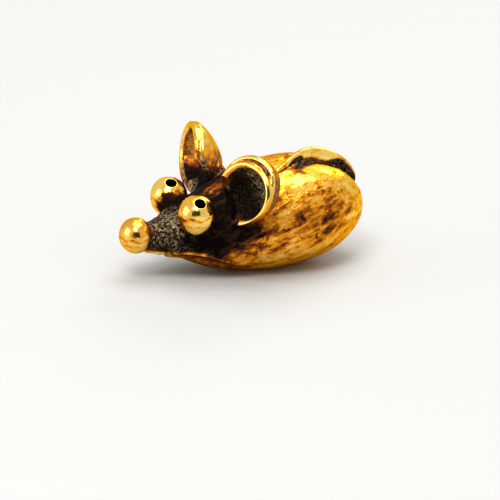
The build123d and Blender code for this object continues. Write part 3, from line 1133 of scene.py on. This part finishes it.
    def left_tones(self, ear, spot, in_bowl):
        """Tones of the left ear outside and in its hollow, its grit and its rubbed tip."""
        look = LEFT_EAR
        slant = spot.x + spot.y
        from_rim = sqrt(spot.x**2 + spot.y**2) - self.rim_reach(ear, atan2(spot.y, spot.x))
        ridge = hump((ear.ridge_width / 2, look.ridge_reach), self.from_hollow(ear, spot))
        ridge *= ease(EAR_ZONES.ridge_foot, spot.z)
        bead = hump(look.bead, from_rim) * ease(look.bead_foot, spot.z)
        tone, dark = look.groove_tones
        groove = tone - dark * hump(look.groove, slant)
        tip = hump(look.tip_zone, (spot - look.tip).length)
        tone, more = look.back_tones
        back = tone + more * ease(look.back, spot.y + look.back_lean * spot.z)
        polish = max(groove, ridge, bead, tip, back * ease(look.back_start, spot.z))
        top, aslant = look.wall_tones
        wall = max(top * ease(look.wall_top, spot.z) * in_bowl, aslant * ease(look.wall_slant, slant))
        grit = (look.least_grit + ease(look.grit, slant)) * (1 - ease(EAR_ZONES.smooth_tone, wall))
        return polish, wall, grit, tip

    def right_tones(self, ear, spot, in_bowl):
        """Tones of the right ear, which is worn more, outside and in its hollow, and its grit."""
        look = RIGHT_EAR
        ridge = hump(look.ridge, self.from_hollow(ear, spot)) * ease(EAR_ZONES.ridge_foot, spot.z)
        ridge *= (1 + ease(look.ridge_rise, spot.y)) / 2
        streak = noise.noise(spot * Vector(look.streak_waves))
        # The back lightens towards the top with a painted highlight; lower down it stays toned.
        tone, more = look.back_tones
        back = tone + more * ease(look.back, spot.y)
        back += look.streak_tone * streak * ease(look.streaks, spot.y)
        wall = look.wall_tone * in_bowl
        for zone, place in zip(look.wall, spot):
            wall *= ease(zone, place)
        return max(back, look.ridge_tone * ridge), wall, look.most_grit * ease(look.grit, spot.y)


TAIL_GRID = (160, 40)  # columns along the tail and rows around it
TAIL_STEP = 0.01  # bench millimetres between which the skin's slope is taken
TAIL_BLUNTNESS = 16  # power of the curve that closes both ends
# Shares of the tail's length: the bare lobe's start and end, and the start of the bare tip
TAIL_ZONES = SimpleNamespace(lobe=(0.2, 0.34), lobe_end=(0.66, 0.56), tip=(0.72, 0.82))
# Heights on the section, from -1 to 1: where the polish starts, how much lower where the metal is bare,
# and the run over which it comes in; then its least tone, painted shade with patina down the sides, and
# what the crest adds, polished metal with a painted highlight
TAIL_POLISH = SimpleNamespace(start=0.4, bare_drop=0.55, run=0.3, least=0.06, more=0.88)
TAIL_GRIT = SimpleNamespace(most=0.14, tone=(0.4, 0.1))


class MOUSE_OT_tail(bpy.types.Operator):
    """Shape the tail laid over the rump and back"""

    bl_idname = "mouse.tail"
    bl_label = "Tail"

    def execute(self, context):
        scene = context.scene
        skin = Skin(scene)

        def place(along, around):
            return self.rod(skin, along, tau * around)

        piece = wrap_grid("mouse_tail", *TAIL_GRID, place, self.polish)
        shine = [point.value for point in piece.data.attributes["polish"].data]
        paint(piece, grit=[TAIL_GRIT.most * ease(TAIL_GRIT.tone, polish) for polish in shine])
        finish_piece(piece, "tail", patinated_brass(scene))
        return {"FINISHED"}

    def rod(self, skin, along, turn):
        """A place on the tail: a rod on the skin with a squarish crest, closed at both ends."""
        tail = skin.tail
        root, tip = skin.rear - tail.root_ahead, skin.rear - tail.tip_ahead
        x = root + (tip - root) * along
        y = skin.tail_offset(x)
        slope = (skin.height(x + TAIL_STEP, y) - skin.height(x - TAIL_STEP, y)) / (2 * TAIL_STEP)
        out = Vector((-slope, 0.0, 1.0)).normalized()
        ends = sqrt(max(1 - (2 * along - 1) ** TAIL_BLUNTNESS, 0.0))
        half = (tail.root_width + (tail.tip_width - tail.root_width) * along) / 2 * ends
        top = tail.end_height + (tail.height - tail.end_height) * sin(pi * along**tail.swell)
        side = abs(cos(turn)) ** tail.squareness * (1 if cos(turn) > 0 else -1)
        rise = abs(sin(turn)) ** tail.squareness
        lift = top * rise if sin(turn) > 0 else -tail.sunk * rise
        return Vector((x, y + half * side, skin.height(x, y))) + out * lift * ends

    def polish(self, along, around):
        """Polish of a place on the tail: bright on the crest with a painted highlight, and further down
        where it is bare; dark down the sides with painted shade and patina.
        """
        bare = ease(TAIL_ZONES.lobe, along) * ease(TAIL_ZONES.lobe_end, along) + ease(TAIL_ZONES.tip, along)
        start = TAIL_POLISH.start - TAIL_POLISH.bare_drop * bare
        # Painted highlight along the crest, and painted shade with patina down the sides where the tail
        # lies on the skin.
        crest = ease((start, start + TAIL_POLISH.run), sin(tau * around))
        return TAIL_POLISH.least + TAIL_POLISH.more * crest


FLOOR_SIZE = 2.0  # metres along a side
SKY_TINT = (1.0, 0.985, 0.96, 1.0)
# Soft boxes: name, place and size in metres, and power in watts
LAMPS = (
    ("key_softbox", (-0.1, -0.1, 0.2), 0.1, 0.42),
    ("top_softbox", (0.03, 0.02, 0.22), 0.17, 0.36),
    ("rear_softbox", (0.14, 0.12, 0.1), 0.08, 0.12),
    ("front_softbox", (-0.2, 0.05, 0.06), 0.12, 0.1),
)
# The dark card: its distance in metres, and the angles from the mouse to its edges
CARD = SimpleNamespace(reach=0.4, low=radians(4), high=radians(38), half=radians(30))
PICTURE = 500.0  # pixels along a side
SENSOR = 36.0  # millimetres along a side
CLIP = (0.001, 10.0)  # metres from the camera
# A place on the ground in bench millimetres, and the pixels right and down where the camera sees it
MARK, MARK_PIXEL = Vector((0.186, -0.848, 0.0)), (248.33, 270.2)


def matt(name, tint, roughness):
    """A plain matt material."""
    material = bpy.data.materials.new(name)
    material.use_nodes = True
    shader = material.node_tree.nodes["Principled BSDF"]
    shader.inputs["Base Color"].default_value = (*tint, 1.0)
    shader.inputs["Roughness"].default_value = roughness
    return material


class MOUSE_OT_stage(bpy.types.Operator):
    """Set the floor, the light and the camera"""

    bl_idname = "mouse.stage"
    bl_label = "Stage"

    def execute(self, context):
        scene = context.scene
        stage = bench(scene.mouse_stage)
        scene.view_settings.view_transform = "Standard"
        self.floor(stage)
        self.light(scene, stage)
        self.camera(scene, stage)
        self.dark_side(stage)
        return {"FINISHED"}

    def plane(self, name, size, material):
        """A plane of the stage."""
        plane = add_shape(name, bpy.ops.mesh.primitive_plane_add, size=size)
        plane.data.materials.append(material)
        return plane

    def floor(self, stage):
        """The pale floor."""
        # Matt paper, which gives the eye an even pale ground without a gleam.
        floor = self.plane("floor", FLOOR_SIZE, matt("pale_matt_paper", stage.floor, roughness=0.9))

    def light(self, scene, stage):
        """Soft light from all round and soft boxes that face the mouse."""
        world = bpy.data.worlds.new("studio")
        world.use_nodes = True
        sky = world.node_tree.nodes["Background"]
        sky.inputs["Color"].default_value = SKY_TINT
        sky.inputs["Strength"].default_value = stage.sky
        scene.world = world
        for name, spot, size, power in LAMPS:
            bpy.ops.object.light_add(type="AREA", location=spot)
            lamp = bpy.context.object
            lamp.name = lamp.data.name = name
            lamp.data.shape = "SQUARE"
            lamp.data.size = size
            lamp.data.energy = power
            lamp.rotation_euler = Vector(spot).to_track_quat("Z", "Y").to_euler()

    def dark_side(self, stage):
        """A dark card behind the camera, which the polished metal mirrors."""
        # Felt, which gives the eye nothing but a dark patch in the reflections.
        card = self.plane("dark_card", 1.0, matt("dark_felt", stage.card, roughness=1.0))
        middle = Vector((-sin(stage.turn), -cos(stage.turn), 0.0)) * CARD.reach
        right = Vector((cos(stage.turn), -sin(stage.turn), 0.0)) * CARD.reach * tan(CARD.half)
        bottom, top = CARD.reach * tan(CARD.low), CARD.reach * tan(CARD.high)
        # The plane is one unit wide around the origin.
        for vertex in card.data.vertices:
            height = bottom + (top - bottom) * (vertex.co.y + 0.5)
            vertex.co = middle + right * 2 * vertex.co.x + Vector((0, 0, height))
        card.visible_camera = False
        card.visible_shadow = False

    def camera(self, scene, stage):
        """The camera at the photograph's angle, with the photograph's scale at the mouse."""
        up, turn, roll = stage.elevation, stage.turn, stage.roll
        towards = Vector((-sin(turn) * cos(up), -cos(turn) * cos(up), sin(up)))
        right = Vector((cos(turn), -sin(turn), 0.0))
        upward = Vector((sin(turn) * sin(up), cos(turn) * sin(up), cos(up)))
        wide = right * cos(roll) + upward * sin(roll)
        tall = upward * cos(roll) - right * sin(roll)
        mark_x, mark_y = MARK_PIXEL
        aim = MARK + wide * (PICTURE / 2 - mark_x) / stage.scale
        aim += tall * (mark_y - PICTURE / 2) / stage.scale
        place = Matrix((wide, tall, towards)).transposed().to_4x4()
        place.translation = (aim + towards * stage.distance) / BENCH
        bpy.ops.object.camera_add()
        camera = bpy.context.object
        camera.name = camera.data.name = "photo_camera"
        camera.matrix_world = place
        camera.data.sensor_width = SENSOR
        camera.data.lens = stage.scale * stage.distance * SENSOR / PICTURE
        camera.data.clip_start, camera.data.clip_end = CLIP
        camera.data.dof.use_dof = False
        scene.camera = camera


class MOUSE_PT_panel(bpy.types.Panel):
    """Sizes, finish and steps of the mouse"""

    bl_idname = "MOUSE_PT_panel"
    bl_label = "Cast Brass Mouse"
    bl_space_type = "VIEW_3D"
    bl_region_type = "UI"
    bl_category = "Mouse"

    def draw(self, context):
        for key, _ in GROUPS:
            group = getattr(context.scene, key)
            box = self.layout.box()
            for name in group.__annotations__:
                box.prop(group, name)
        for operator in OPERATORS:
            self.layout.operator(operator.bl_idname)


GROUPS = (
    ("mouse_body", MouseBody),
    ("mouse_balls", MouseBalls),
    ("mouse_ears", MouseEars),
    ("mouse_tail", MouseTail),
    ("mouse_finish", MouseFinish),
    ("mouse_stage", MouseStage),
)
OPERATORS = (MOUSE_OT_body, MOUSE_OT_balls, MOUSE_OT_ears, MOUSE_OT_tail, MOUSE_OT_stage)


def register():
    for key, group in GROUPS:
        bpy.utils.register_class(group)
        setattr(bpy.types.Scene, key, PointerProperty(type=group))
    for operator in OPERATORS:
        bpy.utils.register_class(operator)
    bpy.utils.register_class(MOUSE_PT_panel)


def unregister():
    bpy.utils.unregister_class(MOUSE_PT_panel)
    for operator in reversed(OPERATORS):
        bpy.utils.unregister_class(operator)
    for key, group in reversed(GROUPS):
        delattr(bpy.types.Scene, key)
        bpy.utils.unregister_class(group)


def main():
    register()
    bpy.ops.mouse.body()
    bpy.ops.mouse.balls()
    bpy.ops.mouse.ears()
    bpy.ops.mouse.tail()
    bpy.ops.mouse.stage()


if __name__ == "__main__":
    main()
